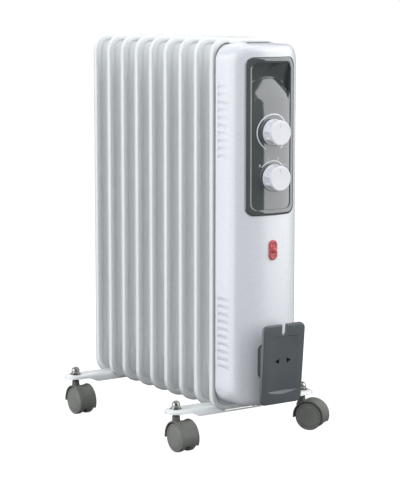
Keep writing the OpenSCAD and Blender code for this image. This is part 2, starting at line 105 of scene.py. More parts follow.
WHEEL_RADIUS = 21.9
TRAIL = 16.0
CASTERS = {
    "front_left": (-STEM_X, -BRACKET_Y, 0.0),
    "front_right": (STEM_X, -BRACKET_Y, 32.0),
    "rear_left": (-STEM_X, BRACKET_Y, 0.0),
    "rear_right": (STEM_X, BRACKET_Y, 0.0),
}


def fin_y(index):
    """Seam plane of fin 0 to 8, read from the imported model."""
    low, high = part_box(f"fin_{index + 1}")
    if index == 0:
        return high.y / MM - CHANNEL_OUT
    return (low.y + high.y) / 2 / MM


# ------------------------------------------------------------------ camera

CAMERA_AT = Vector((-1.5498, -2.3141, 0.6719))
CAMERA_AZIMUTH = math.radians(-34.256)
CAMERA_ELEVATION = math.radians(7.875)
CAMERA_LENS = 132.22


def make_camera():
    """A long lens to the left of the controls, just above the height of the heater."""
    data = bpy.data.cameras.new("camera")
    data.lens = CAMERA_LENS
    data.sensor_width = 36.0
    camera = bpy.data.objects.new("camera", data)
    bpy.context.scene.collection.objects.link(camera)
    level = math.cos(CAMERA_ELEVATION)
    back = Vector((
        math.sin(CAMERA_AZIMUTH) * level,
        -math.cos(CAMERA_AZIMUTH) * level,
        math.sin(CAMERA_ELEVATION),
    ))
    camera.location = CAMERA_AT
    camera.rotation_mode = "QUATERNION"
    camera.rotation_quaternion = (-back).to_track_quat("-Z", "Y")
    bpy.context.scene.camera = camera


# ------------------------------------------------------------------ studio

# name: (azimuth it shines from, elevation, distance m, width m, height m, watts, colour)
SOFTBOXES = {
    "left_box": (-106, 8, 2.4, 3.8, 2.8, 49, (0.97, 0.99, 1.0)),
    "right_box": (47, 20, 2.2, 2.9, 2.6, 36, (1.0, 1.0, 1.0)),
    "back_box": (165, 26, 2.6, 2.0, 1.6, 12, (0.97, 0.98, 1.0)),
    "top_box": (-40, 84, 2.2, 1.8, 1.8, 6, (1.0, 1.0, 1.0)),
}
AIM = Vector((0.0, 0.0, 0.31))
# (tint, strength) of the surroundings for camera rays, for reflections and for all other rays
BACKDROP = ((1.0, 1.0, 1.0), 1.05)
GLOSS_ROOM = ((0.95, 0.97, 1.0), 0.14)
FILL_ROOM = ((0.93, 0.96, 1.0), 0.93)
FLOOR_REACH = 6.0
FLOOR_TONE = 0.14
FLOOR_GLOW = 1.0


def direction(azimuth, elevation):
    """Unit vector towards an azimuth from -Y round to +X, in degrees."""
    a = math.radians(azimuth)
    e = math.radians(elevation)
    return Vector((math.sin(a) * math.cos(e), -math.cos(a) * math.cos(e), math.sin(e)))


def surroundings(tree, tint, strength):
    """A background node of one tint; returns its output."""
    node = tree.nodes.new("ShaderNodeBackground")
    node.inputs["Color"].default_value = (*tint, 1)
    node.inputs["Strength"].default_value = strength
    return node.outputs["Background"]


def make_world():
    """One world that looks different to the camera, to reflections and to fill light."""
    world = bpy.data.worlds.new("studio")
    world.use_nodes = True
    tree = world.node_tree
    tree.nodes.clear()
    path = tree.nodes.new("ShaderNodeLightPath")
    unseen = tree.nodes.new("ShaderNodeMixShader")
    tree.links.new(path.outputs["Is Glossy Ray"], unseen.inputs["Fac"])
    tree.links.new(surroundings(tree, *FILL_ROOM), unseen.inputs[1])
    tree.links.new(surroundings(tree, *GLOSS_ROOM), unseen.inputs[2])
    mix = tree.nodes.new("ShaderNodeMixShader")
    tree.links.new(path.outputs["Is Camera Ray"], mix.inputs["Fac"])
    tree.links.new(unseen.outputs["Shader"], mix.inputs[1])
    tree.links.new(surroundings(tree, *BACKDROP), mix.inputs[2])
    out = tree.nodes.new("ShaderNodeOutputWorld")
    tree.links.new(mix.outputs["Shader"], out.inputs["Surface"])
    bpy.context.scene.world = world


def make_lights():
    """Large soft boxes round the heater, all aimed at its middle."""
    for name, (azimuth, elevation, distance, width, height, watts, colour) in SOFTBOXES.items():
        data = bpy.data.lights.new(name, "AREA")
        data.shape = "RECTANGLE"
        data.size = width
        data.size_y = height
        data.energy = watts
        data.color = colour
        lamp = bpy.data.objects.new(name, data)
        bpy.context.scene.collection.objects.link(lamp)
        away = direction(azimuth, elevation)
        lamp.location = AIM + away * distance
        lamp.rotation_mode = "QUATERNION"
        lamp.rotation_quaternion = (-away).to_track_quat("-Z", "Y")
        lamp.visible_camera = False


def make_floor():
    """A matt floor that glows white for the camera only."""
    reach = FLOOR_REACH
    mesh = bpy.data.meshes.new("floor")
    corners = [(-reach, -reach, 0), (reach, -reach, 0), (reach, reach, 0), (-reach, reach, 0)]
    mesh.from_pydata(corners, [], [(0, 1, 2, 3)])
    floor = bpy.data.objects.new("floor", mesh)
    bpy.context.scene.collection.objects.link(floor)
    paper = bpy.data.materials.new("floor_paper")
    paper.use_nodes = True
    tree = paper.node_tree
    shader = tree.nodes["Principled BSDF"]
    shader.inputs["Base Color"].default_value = (FLOOR_TONE, FLOOR_TONE, FLOOR_TONE, 1)
    shader.inputs["Roughness"].default_value = 0.9
    shader.inputs["Specular IOR Level"].default_value = 0.1
    shader.inputs["Emission Color"].default_value = (1, 1, 1, 1)
    path = tree.nodes.new("ShaderNodeLightPath")
    glow = tree.nodes.new("ShaderNodeMath")
    glow.operation = "MULTIPLY"
    glow.inputs[1].default_value = FLOOR_GLOW
    tree.links.new(path.outputs["Is Camera Ray"], glow.inputs[0])
    tree.links.new(glow.outputs["Value"], shader.inputs["Emission Strength"])
    mesh.materials.append(paper)
    floor.visible_glossy = False


# ------------------------------------------------------------------ finishes

# the spans of noise values that the tones and the roughness run across
BLOTCH_RANGE = (0.35, 0.65)
GRAIN_RANGE = (0.3, 0.7)


def linear(r, g, b):
    """sRGB 0-255 to linear RGBA."""

    def one(c):
        c = c / 255
        return c / 12.92 if c <= 0.04045 else ((c + 0.055) / 1.055) ** 2.4
    return (one(r), one(g), one(b), 1.0)


def finish(name, light, dark, rough, blotch=25.0, grain=900.0, depth=0.02, **extra):
    """A moulded, painted or plated surface.

    light and dark are the two tones that slow blotches run between, rough is the pair of
    roughness limits, blotch and grain are noise scales per metre, depth is the bump in mm.
    """
    material = bpy.data.materials.new(name)
    material.use_nodes = True
    tree = material.node_tree
    shader = tree.nodes["Principled BSDF"]
    place = tree.nodes.new("ShaderNodeTexCoord")
    slow = tree.nodes.new("ShaderNodeTexNoise")
    slow.inputs["Scale"].default_value = blotch
    slow.inputs["Detail"].default_value = 3.0
    fine = tree.nodes.new("ShaderNodeTexNoise")
    fine.inputs["Scale"].default_value = grain
    fine.inputs["Detail"].default_value = 4.0
    ramp = tree.nodes.new("ShaderNodeValToRGB")
    ramp.color_ramp.elements[0].position = BLOTCH_RANGE[0]
    ramp.color_ramp.elements[0].color = dark
    ramp.color_ramp.elements[1].position = BLOTCH_RANGE[1]
    ramp.color_ramp.elements[1].color = light
    gloss = tree.nodes.new("ShaderNodeMapRange")
    gloss.inputs["From Min"].default_value = GRAIN_RANGE[0]
    gloss.inputs["From Max"].default_value = GRAIN_RANGE[1]
    gloss.inputs["To Min"].default_value = rough[0]
    gloss.inputs["To Max"].default_value = rough[1]
    bump = tree.nodes.new("ShaderNodeBump")
    bump.inputs["Strength"].default_value = 1.0
    bump.inputs["Distance"].default_value = depth * MM
    tree.links.new(place.outputs["Object"], slow.inputs["Vector"])
    tree.links.new(place.outputs["Object"], fine.inputs["Vector"])
    tree.links.new(slow.outputs["Fac"], ramp.inputs["Fac"])
    tree.links.new(ramp.outputs["Color"], shader.inputs["Base Color"])
    tree.links.new(fine.outputs["Fac"], gloss.inputs["Value"])
    tree.links.new(gloss.outputs["Result"], shader.inputs["Roughness"])
    tree.links.new(fine.outputs["Fac"], bump.inputs["Height"])
    tree.links.new(bump.outputs["Normal"], shader.inputs["Normal"])
    for socket, value in extra.items():
        shader.inputs[socket.replace("_", " ")].default_value = value
    return material


def make_finishes():
    """One material for each material slot of the record."""
    return {
        "white_enamel": finish(
            "white_enamel", linear(238, 240, 240), linear(236, 238, 238), (0.3, 0.4),
            blotch=9.0, grain=420.0, depth=0.003, Coat_Weight=0.8, Coat_Roughness=0.22,
            Coat_IOR=1.7),
        "white_housing": finish(
            "white_housing", linear(233, 235, 240), linear(231, 233, 238), (0.24, 0.34),
            blotch=7.0, grain=380.0, depth=0.002, Coat_Weight=1.0, Coat_Roughness=0.3,
            Coat_IOR=2.0),
        "zinc_steel": finish(
            "zinc_steel", linear(196, 197, 199), linear(164, 166, 170), (0.25, 0.45),
            blotch=160.0, grain=1500.0, Metallic=1.0),
        "element_sheath": finish(
            "element_sheath", linear(120, 116, 110), linear(84, 80, 78), (0.4, 0.6),
            blotch=60.0, grain=900.0, Metallic=1.0),
        "brass_plug": finish(
            "brass_plug", linear(214, 176, 98), linear(186, 148, 78), (0.25, 0.4),
            blotch=70.0, grain=1400.0, Metallic=1.0),
        "gasket_rubber": finish(
            "gasket_rubber", linear(150, 62, 40), linear(124, 48, 32), (0.6, 0.8),
            blotch=90.0, grain=1200.0, depth=0.05),
        "ceramic_ivory": finish(
            "ceramic_ivory", linear(232, 226, 206), linear(220, 212, 188), (0.45, 0.6),
            blotch=80.0, grain=1100.0),
        "panel_gloss_grey": finish(
            "panel_gloss_grey", linear(80, 86, 87), linear(74, 80, 81), (0.08, 0.14),
            blotch=14.0, grain=300.0, depth=0.003, Coat_Weight=1.0, Coat_Roughness=0.09,
            Coat_IOR=2.1),
        "phenolic_brown": finish(
            "phenolic_brown", linear(128, 86, 58), linear(102, 66, 44), (0.4, 0.55),
            blotch=120.0, grain=1300.0),
        "black_plastic": finish(
            "black_plastic", linear(46, 46, 47), linear(34, 34, 35), (0.4, 0.55),
            blotch=60.0, grain=1600.0, depth=0.03),
        "red_lens": finish(
            "red_lens", linear(236, 104, 106), linear(226, 92, 96), (0.12, 0.2),
            blotch=60.0, grain=500.0, depth=0.006, Coat_Weight=0.8, Coat_Roughness=0.05,
            Transmission_Weight=0.25, Subsurface_Weight=0.3, Subsurface_Scale=0.004),
        "lamp_body": finish(
            "lamp_body", linear(236, 160, 84), linear(214, 134, 62), (0.2, 0.35),
            blotch=90.0, grain=900.0),
        "winder_grey": finish(
            "winder_grey", linear(90, 95, 98), linear(85, 90, 93), (0.3, 0.42),
            blotch=22.0, grain=1500.0, depth=0.01, Coat_Weight=0.7, Coat_Roughness=0.16),
        "white_knob": finish(
            "white_knob", linear(236, 236, 240), linear(231, 231, 236), (0.22, 0.32),
            blotch=40.0, grain=900.0, depth=0.008, Subsurface_Weight=0.08,
            Subsurface_Scale=0.002, Coat_Weight=0.3, Coat_Roughness=0.12),
        "dark_steel": finish(
            "dark_steel", linear(58, 58, 60), linear(42, 42, 44), (0.35, 0.55),
            blotch=120.0, grain=1500.0, Metallic=0.9),
        "chrome_nut": finish(
            "chrome_nut", linear(214, 212, 208), linear(196, 194, 190), (0.12, 0.24),
            blotch=120.0, grain=900.0, depth=0.006, Metallic=1.0),
        "caster_grey": finish(
            "caster_grey", linear(116, 117, 111), linear(106, 107, 101), (0.42, 0.56),
            blotch=40.0, grain=1700.0, depth=0.035),
        "caster_wheel_grey": finish(
            "caster_wheel_grey", linear(132, 133, 128), linear(122, 123, 118), (0.45, 0.6),
            blotch=45.0, grain=1500.0, depth=0.035),
    }


# ------------------------------------------------------------------ mesh helpers

WELD = 0.002


def solid(name, verts, faces, angle=35.0):
    """A clean mesh object from points in millimetres."""
    mesh = bpy.data.meshes.new(name)
    mesh.from_pydata([(x * MM, y * MM, z * MM) for x, y, z in verts], [], faces)
    work = bmesh.new()
    work.from_mesh(mesh)
    bmesh.ops.remove_doubles(work, verts=work.verts, dist=WELD * MM)
    bmesh.ops.recalc_face_normals(work, faces=work.faces)
    work.to_mesh(mesh)
    work.free()
    mesh.shade_smooth()
    mesh.set_sharp_from_angle(angle=math.radians(angle))
    piece = bpy.data.objects.new(name, mesh)
    bpy.context.scene.collection.objects.link(piece)
    return piece


def loft(name, rings, closed=False, angle=35.0):
    """Skin over rings of equal length, capped at both ends or closed into a loop."""
    count = len(rings[0])
    total = len(rings)
    verts = [p for ring in rings for p in ring]
    faces = []
    for a in range(total if closed else total - 1):
        here = a * count
        there = (a + 1) % total * count
        for k in range(count):
            j = (k + 1) % count
            faces.append((here + k, here + j, there + j, there + k))
    if not closed:
        last = (total - 1) * count
        faces.append(tuple(range(count - 1, -1, -1)))
        faces.append(tuple(range(last, last + count)))
    return solid(name, verts, faces, angle)


def join(name, parts, angle=35.0):
    """One object that holds the meshes of several, with each part's transform applied."""
    work = bmesh.new()
    for part in parts:
        part.data.transform(part.matrix_basis)
        work.from_mesh(part.data)
        bpy.data.objects.remove(part)
    mesh = bpy.data.meshes.new(name)
    work.to_mesh(mesh)
    work.free()
    mesh.shade_smooth()
    mesh.set_sharp_from_angle(angle=math.radians(angle))
    piece = bpy.data.objects.new(name, mesh)
    bpy.context.scene.collection.objects.link(piece)
    return piece


def dress(piece, slot, body, *stands_for):
    """Gives a finished piece its material and body, and hides the CAD nodes that it stands for."""
    piece.data.materials.clear()
    piece.data.materials.append(finishes[slot])
    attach(piece, body)
    if stands_for:
        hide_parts(*stands_for)
    return piece


def cut(piece, cutters):
    """Subtracts cutter objects from a piece and keeps the result as its mesh."""
    for cutter in cutters:
        modifier = piece.modifiers.new("cut", "BOOLEAN")
        modifier.operation = "DIFFERENCE"
        modifier.solver = "EXACT"
        modifier.object = cutter
    depsgraph = bpy.context.evaluated_depsgraph_get()
    mesh = bpy.data.meshes.new_from_object(piece.evaluated_get(depsgraph))
    piece.modifiers.clear()
    piece.data = mesh
    for cutter in cutters:
        bpy.data.objects.remove(cutter)


def ease(t):
    """Smooth step from 0 to 1."""
    return t * t * (3 - 2 * t)


def rounded_loop(half, low, high, rx, rz, corner=9, side=8, end=5):
    """Rounded rectangle in (x, z), anticlockwise from the lower right corner."""
    loop = []
    corners = [
        (half - rx, low + rz, -90), (half - rx, high - rz, 0),
        (rx - half, high - rz, 90), (rx - half, low + rz, 180),
    ]
    for k, (cx, cz, start) in enumerate(corners):
        for step in range(corner + 1):
            a = math.radians(start + 90 * step / corner)
            loop.append((cx + rx * math.cos(a), cz + rz * math.sin(a)))
        nx, nz, turn = corners[(k + 1) % 4]
        a = math.radians(turn)
        goal = (nx + rx * math.cos(a), nz + rz * math.sin(a))
        here = loop[-1]
        steps = side if k % 2 == 0 else end
        for step in range(1, steps):
            t = step / steps
            loop.append((here[0] + (goal[0] - here[0]) * t, here[1] + (goal[1] - here[1]) * t))
    return loop


def lathe(name, profile, place, steps=48, closed=False, angle=35.0):
    """Turns (radius, along) pairs; place maps (u, v, along) to a point in millimetres."""
    rings = []
    for radius, along in profile:
        ring = []
        for k in range(steps):
            a = 2 * math.pi * k / steps
            ring.append(place(radius * math.cos(a), radius * math.sin(a), along))
        rings.append(ring)
    return loft(name, rings, closed, angle)


def bow_y(x, out=0.0):
    """Y of the bowed front at x, out millimetres proud of it."""
    radius = BOW_RADIUS + out
    return BOW_CENTRE - math.sqrt(radius * radius - x * x)


# ------------------------------------------------------------------ fins

# (inset from the edge, height off the seam plane) across the rolled rim and the margin
RIM_PROFILE = [
    (0.0, 0.0), (0.0, 2.6), (0.35, 3.8), (1.1, 4.6), (2.1, 5.0), (5.6, 5.0), (7.2, 4.8),
    (8.0, 4.2), (8.5, 3.0), (8.9, 1.6), (9.5, 0.9), (10.6, 0.7), (12.2, 0.7), (13.3, 1.1),
    (14.2, 1.9), (15.2, 2.1),
]
CHANNEL_HALF = 45.5
CHANNEL_END = 18.0
CHANNEL_RX = 40.0
CHANNEL_RZ = 58.0
# (inset from the channel's foot, height off the seam plane)
CHANNEL_PROFILE = [(0.0, 2.1), (0.9, 2.6), (2.4, 4.9), (3.4, 5.7), (4.8, CHANNEL_OUT)]
# (half width, end height, height off the seam plane) of the welded strip between two channels
STRIP_PROFILE = [
    (11.0, 160.0, CHANNEL_OUT), (9.6, 161.4, 5.4), (7.6, 163.4, 2.6), (6.2, 164.8, 2.0),
]
RIM_CORNER_LEAST = 14.0
BOSS_BORE = 20.0
BOSS_RADIUS = 25.0
BOSS_FOOT = 28.0


def fin_side(y, sign):
    """Rings of one face of a fin, from the edge to the middle."""
    rings = []

    def add(loop, lift):
        rings.append([(x, y + sign * lift, z) for x, z in loop])

    for inset, lift in RIM_PROFILE:
        radius = max(FIN_CORNER - inset, RIM_CORNER_LEAST)
        add(rounded_loop(FIN_HALF_WIDTH - inset, FIN_LOW + inset, FIN_HIGH - inset,
                         radius, radius), lift)
    for inset, lift in CHANNEL_PROFILE:
        add(rounded_loop(CHANNEL_HALF - inset, FIN_LOW + CHANNEL_END + inset,
                         FIN_HIGH - CHANNEL_END - inset, CHANNEL_RX - inset,
                         CHANNEL_RZ - inset), lift)
    for half, end, lift in STRIP_PROFILE:
        add(rounded_loop(half, end, FIN_LOW + FIN_HIGH - end, half - 0.5, half - 0.5), lift)
    return rings


def make_fins():
    """Nine pressings; the first one also carries the boss of the lower header."""
    for index in range(FIN_COUNT):
        y = fin_y(index)
        front = fin_side(y, -1)
        rear = fin_side(y, 1)
        name = f"fin_{index + 1}"
        parts = [loft(name + "_plate", front[::-1] + rear[1:])]
        if index == 0:
            parts.append(header_boss(y))
        fin = join(name + "_pressing", parts)
        dress(fin, "white_enamel", "radiator", name)


def header_boss(y):
    """The boss on the first fin that the element's plug screws into."""
    low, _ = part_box("fin_1")
    face = low.y / MM
    profile = [
        (BOSS_BORE, y - 3), (BOSS_BORE, face + 1), (BOSS_BORE + 1, face),
        (BOSS_RADIUS - 1, face), (BOSS_RADIUS, face + 1), (BOSS_RADIUS, y - 8),
        (BOSS_FOOT - 1, y - 5), (BOSS_FOOT, y - 3),
    ]
    return lathe("boss", profile, lambda u, v, w: (u, w, HEADER_LOW + v), closed=True)


# ------------------------------------------------------------------ housing

SHELL = 3.0
EDGE_ROUND = 12.0
LOUVRE_DEPTH = 1.3
LOUVRE_RISE = 2.6
EDGE_STEPS = 8
# insets of the rings that carry the bowed front in from its rounded edge
FACE_INSETS = (15.0, 19.0, 24.0, 30.0, 36.0, 42.0, 48.0, 54.0, 59.5)
# how far the window's edge hides behind the bezel, and its corner radius
WINDOW_INSET = 2.0
WINDOW_CORNER = 11.0
LENS_HOLE_HALF = 6.0
LENS_HOLE_HALF_H = 13.8
LENS_HOLE_CORNER = 5.9
# start and end of the cut through the front, behind its foremost line
HOLE_SPAN = (-3.0, 34.0)


def housing_ring(inset, fall, sink=0.0):
    """A ring of the bowed front: fall back from the bow, sink for the inner surface."""
    radius = max(HOUSING_CORNER - inset, 1.0)
    loop = rounded_loop(HOUSING_HALF - inset, HOUSING_LOW + inset, HOUSING_HIGH - inset,
                        radius, radius, corner=12, side=48, end=10)
    return [(x, bow_y(x) + fall + sink, z) for x, z in loop]


def make_louvres():
    """Wedges that cut the pressed louvres, shallow at the top and deep at the foot."""
    wedges = []
    near, far = VENT_SPAN
    for side in (-1, 1):
        skin = side * HOUSING_HALF
        for top in VENT_TOPS:
            for k in range(VENT_SLOTS):
                high = top - k * VENT_PITCH + LOUVRE_RISE
                low = high - VENT_SLOT
                section = [(skin + side, high), (skin - side * 0.05, high),
                           (skin - side * LOUVRE_DEPTH, low), (skin + side, low)]
                wedges.append(loft("wedge", [[(x, y, z) for x, z in section]
                                             for y in (near, far)]))
    return join("louvre_wedges", wedges)


def make_housing():
    """The sheet case with its window, lens hole and louvres, open at the back."""
    back = HOUSING_BACK - 0.02
    steps = [math.radians(90 * k / EDGE_STEPS) for k in range(EDGE_STEPS + 1)]
    rounds = [(EDGE_ROUND * (1 - math.cos(a)), EDGE_ROUND * (1 - math.sin(a))) for a in steps]
    fronts = rounds + [(inset, 0.0) for inset in FACE_INSETS]
    outer = [housing_ring(inset, fall) for inset, fall in fronts]
    rear = [[(x, back, z) for x, _, z in outer[0]]]
    inner = [housing_ring(inset + SHELL, fall, SHELL) for inset, fall in rounds]
    inner += [housing_ring(inset + SHELL, 0.0, SHELL) for inset in FACE_INSETS[:-2]]
    mouth = [[(x, back, z) for x, _, z in inner[0]]]
    shell = loft("shell", inner[::-1] + mouth + rear + outer, angle=30)
    window = rounded_loop(PANEL_HALF - WINDOW_INSET, PANEL_LOW + WINDOW_INSET,
                          PANEL_HIGH - WINDOW_INSET, WINDOW_CORNER, WINDOW_CORNER)
    lens = rounded_loop(LENS_HOLE_HALF, LAMP_Z - LENS_HOLE_HALF_H, LAMP_Z + LENS_HOLE_HALF_H,
                        LENS_HOLE_CORNER, LENS_HOLE_CORNER)
    holes = [loft("hole", [[(x, FRONT + y, z) for x, z in loop] for y in HOLE_SPAN])
             for loop in (window, lens)]
    cut(shell, holes + [make_louvres()])
    case = join("case", [shell], 30)
    dress(case, "white_housing", "radiator", "housing_shell")


# ------------------------------------------------------------------ front panel

# (inset from the edge, height proud of the bow) round the closed section of the bezel
BEZEL_PROFILE = [
    (2.2, -2.2), (2.2, 0.08), (0.0, 0.08), (0.0, 0.5), (0.5, 1.2), (1.4, 1.9), (2.6, 2.3),
    (4.4, 2.4), (6.4, 2.1), (7.8, 1.7), (8.6, 1.4), (8.95, 1.0), (9.1, 0.2), (9.2, -2.2),
]
CORNER_TIGHTEN = 0.35
FACE_OUT = 0.35
BEZEL_WIDTH = 9.0
POCKET_LOW = 521.5
POCKET_RISE = 34.0
POCKET_DEPTH = 16.0
POCKET_TOP = 575.4
POCKET_HALF = 34.6
POCKET_FOOT_HALF = 30.0
POCKET_TAPER_TOP = 546.0
FACE_SHEET = 1.6
FACE_COLUMNS = 28
# share of the margin beside the pocket that its rounded lip takes
LIP_SHARE = 0.12
# how far the sheet tucks under the bezel
FACE_TUCK = 0.1
# how much of the ramp's shape is curved, and how far and how evenly the back leans forward
RAMP_CURVE = 0.35
BACK_LEAN = 0.94
BACK_POWER = 1.5
LEAST_ROOM = 0.5
LOWER_ROWS = 8
RAMP_ROWS = 14
BACK_ROWS = 10


def on_bow(loop, out):
    """An (x, z) loop laid on the bowed front, out millimetres proud of it."""
    return [(x, bow_y(x, out), z) for x, z in loop]


def panel_loop(inset):
    """Outline of the panel; its corners tighten slowly towards the inside."""
    radius = PANEL_CORNER - CORNER_TIGHTEN * inset
    return rounded_loop(PANEL_HALF - inset, PANEL_LOW + inset, PANEL_HIGH - inset,
                        radius, radius, corner=10, side=24, end=18)


def pocket_half(z):
    """Half width of the pocket at a height: its lips draw in towards the foot."""
    share = (z - POCKET_LOW) / (POCKET_TAPER_TOP - POCKET_LOW)
    share = ease(min(max(share, 0.0), 1.0))
    return POCKET_FOOT_HALF + (POCKET_HALF - POCKET_FOOT_HALF) * share


def face_row(height, sink, columns):
    """One row of the sheet behind the bezel; height and sink are functions of x."""
    row = []
    for share, edge in columns:
        half = pocket_half(height(0.0))
        x = share * half + edge * (PANEL_HALF - BEZEL_WIDTH + FACE_TUCK - half)
        level = height(max(min(x, half), -half))
        depth = sink(x) if edge == 0 else 0.0
        row.append((x, bow_y(x, FACE_OUT) + depth, level))
    return row


def make_face():
    """Lower face, pocket ramp, pocket back and roof as one bowed sheet."""
    wall = FRONT + POCKET_DEPTH
    inner = [(-1 + 2 * k / FACE_COLUMNS, 0) for k in range(FACE_COLUMNS + 1)]
    columns = [(-1, -1), (-1, -LIP_SHARE)] + inner + [(1, LIP_SHARE), (1, 1)]

    def room(x):
        return max(wall - bow_y(x, FACE_OUT), LEAST_ROOM)

    def arch(x):
        return POCKET_LOW + POCKET_RISE * room(x) / room(0.0)

    rows = []
    foot = PANEL_LOW + BEZEL_WIDTH
    for step in range(LOWER_ROWS + 1):
        level = foot + (POCKET_LOW - 2 - foot) * step / LOWER_ROWS
        rows.append(face_row(lambda x, v=level: v, lambda x: 0.0, columns))
    for step in range(1, RAMP_ROWS + 1):
        t = step / RAMP_ROWS
        rows.append(face_row(
            lambda x, s=t: POCKET_LOW + (arch(x) - POCKET_LOW) * s,
            lambda x, s=t: room(x) * s * (RAMP_CURVE * s + 1 - RAMP_CURVE), columns))
    for step in range(1, BACK_ROWS + 1):
        t = step / BACK_ROWS
        rows.append(face_row(
            lambda x, s=t: arch(x) + (POCKET_TOP - arch(x)) * s,
            lambda x, s=t: room(x) * (1 - BACK_LEAN * s ** BACK_POWER), columns))
    count = len(columns)
    back = [[(x, y + FACE_SHEET, z) for x, y, z in row] for row in rows]
    verts = [p for row in rows + back for p in row]
    faces = []
    span = len(rows)
    for a in range(span - 1):
        for k in range(count - 1):
            here = a * count + k
            faces.append((here, here + 1, here + count + 1, here + count))
            under = here + span * count
            faces.append((under, under + count, under + count + 1, under + 1))
    rim = list(range(count))
    rim += [a * count + count - 1 for a in range(1, span)]
    rim += [(span - 1) * count + k for k in range(count - 2, -1, -1)]
    rim += [a * count for a in range(span - 2, 0, -1)]
    for k, here in enumerate(rim):
        nxt = rim[(k + 1) % len(rim)]
        faces.append((here, here + span * count, nxt + span * count, nxt))
    return solid("face", verts, faces, 28)


def make_panel():
    """The bezel and the sheet inside it as one moulding."""
    bezel = loft("bezel", [on_bow(panel_loop(i), o) for i, o in BEZEL_PROFILE], closed=True)
    panel = join("front_panel", [bezel, make_face()], 28)
    dress(panel, "panel_gloss_grey", "radiator", "control_panel")


# ------------------------------------------------------------------ knobs and dial marks

KNOB_SCALLOPS = 9
SCALLOP_DEPTH = 1.7
SCALLOP_STEPS = 16
# how much the scallops' floors are flattened
SCALLOP_FLAT = 1.6
KNOB_DISH = 18.0
# half width, start and end of the pointer bar from the knob's axis, and its corner radius
POINTER = (0.9, 8.0, 15.4, 0.7)
# (inset, distance from the dish) up the pointer bar
POINTER_PROFILE = [(0, -0.4), (0, 0.6), (0.25, 0.85)]
# (radius, distance from the base, share of the scallop) along the knob
KNOB_PROFILE = [
    (4.0, 0.3, 0), (19.4, 0.0, 0), (20.0, 0.5, 0), (20.0, 1.8, 0), (19.6, 2.4, 0),
    (19.5, 3.2, 0.6), (19.5, 4.4, 1), (19.4, 9.0, 1), (19.3, 13.6, 1), (19.2, 14.6, 0.8),
    (19.1, 15.6, 0.4), (18.9, 16.6, 0.15), (18.5, 17.5, 0.05), (17.8, 18.2, 0), (17.0, 18.5, 0),
    (16.0, 18.5, 0), (14.6, 18.4, 0), (6.0, 18.4, 0),
]


def make_knob(name, z, body, *stands_for):
    """A scalloped grip with a raised pointer bar on its face."""
    steps = KNOB_SCALLOPS * SCALLOP_STEPS
    rings = []
    for radius, along, share in KNOB_PROFILE:
        ring = []
        for k in range(steps):
            a = 2 * math.pi * k / steps
            wave = 0.5 - 0.5 * math.cos(KNOB_SCALLOPS * a)
            r = radius - SCALLOP_DEPTH * share * min(1.0, wave * SCALLOP_FLAT)
            ring.append((r * math.sin(a), KNOB_BASE - along, z + r * math.cos(a)))
        rings.append(ring)
    grip = loft(name + "_grip", rings, angle=40)
    half, near, far, corner = POINTER
    bar = []
    for inset, out in POINTER_PROFILE:
        loop = rounded_loop(half - inset, z + near + inset, z + far - inset, corner - inset,
                            corner - inset, corner=4)
        bar.append([(x, KNOB_BASE - KNOB_DISH - out, w) for x, w in loop])
    mark = loft("mark", bar)
    knob = join(name, [grip, mark], 40)
    dress(knob, "white_knob", body, *stands_for)


PRINT_LIFT = 0.16
PRINT_SINK = 0.1
FONT_PER_HEIGHT = 1.35


def bow_band(name, z0, radius, start, stop, width, steps=56):
    """A printed arc on the bowed face, angles in degrees from 12 o'clock."""
    rings = []
    for k in range(steps + 1):
        a = math.radians(start + (stop - start) * k / steps)
        ring = []
        for r, out in ((radius - width / 2, -PRINT_SINK), (radius - width / 2, PRINT_LIFT),
                       (radius + width / 2, PRINT_LIFT), (radius + width / 2, -PRINT_SINK)):
            x = r * math.sin(a)
            ring.append((x, bow_y(x, FACE_OUT + out), z0 + r * math.cos(a)))
        rings.append(ring)
    return loft(name, rings)


def bow_digit(text, x0, z0, height):
    """A digit raised a hair above the bowed face."""
    curve = bpy.data.curves.new("digit", "FONT")
    curve.body = text
    curve.size = height * FONT_PER_HEIGHT
    curve.extrude = PRINT_SINK
    curve.align_x = "CENTER"
    curve.align_y = "CENTER"
    glyph = bpy.data.objects.new("digit", curve)
    mesh = bpy.data.meshes.new_from_object(glyph)
    bpy.data.objects.remove(glyph)
    for vert in mesh.vertices:
        x = x0 + vert.co.x
        out = PRINT_LIFT if vert.co.z > 0 else -PRINT_SINK
        vert.co = Vector((x, bow_y(x, FACE_OUT + out), z0 + vert.co.y)) * MM
    piece = bpy.data.objects.new("digit", mesh)
    bpy.context.scene.collection.objects.link(piece)
    return piece


RING_RADIUS = 26.9
RING_SWEEP = 150.0
RING_WIDTH = 1.7
ARC_RADIUS = 25.0
ARC_SWEEP = 51.0
ARC_WIDTH = 1.2
DIGIT_RADIUS = 29.0
DIGIT_HEIGHT = 4.0
DIGIT_COUNT = 4


def make_dial_marks():
    """A ring round the thermostat knob; an arc and numbers round the selector knob."""
    parts = [
        bow_band("ring", THERMOSTAT_Z, RING_RADIUS, -RING_SWEEP, RING_SWEEP, RING_WIDTH),
        bow_band("arc", SELECTOR_Z, ARC_RADIUS, -ARC_SWEEP, ARC_SWEEP, ARC_WIDTH),
    ]
    for k in range(DIGIT_COUNT):
        a = math.radians(-ARC_SWEEP + 2 * ARC_SWEEP * k / (DIGIT_COUNT - 1))
        parts.append(bow_digit(str(k), DIGIT_RADIUS * math.sin(a),
                               SELECTOR_Z + DIGIT_RADIUS * math.cos(a), DIGIT_HEIGHT))
    marks = join("dial_marks", parts)
    dress(marks, "white_knob", "radiator")


# ------------------------------------------------------------------ pilot lamp

# (inset, height proud of the bow's foremost line) across the lens
LENS_PROFILE = [
    (1.8, -11.0), (1.8, 0.4), (0.0, 0.4), (0.0, 1.6), (0.4, 2.3), (1.2, 2.8), (2.2, 3.0),
    (2.9, 2.8), (3.3, 2.3), (3.8, 2.2),
]


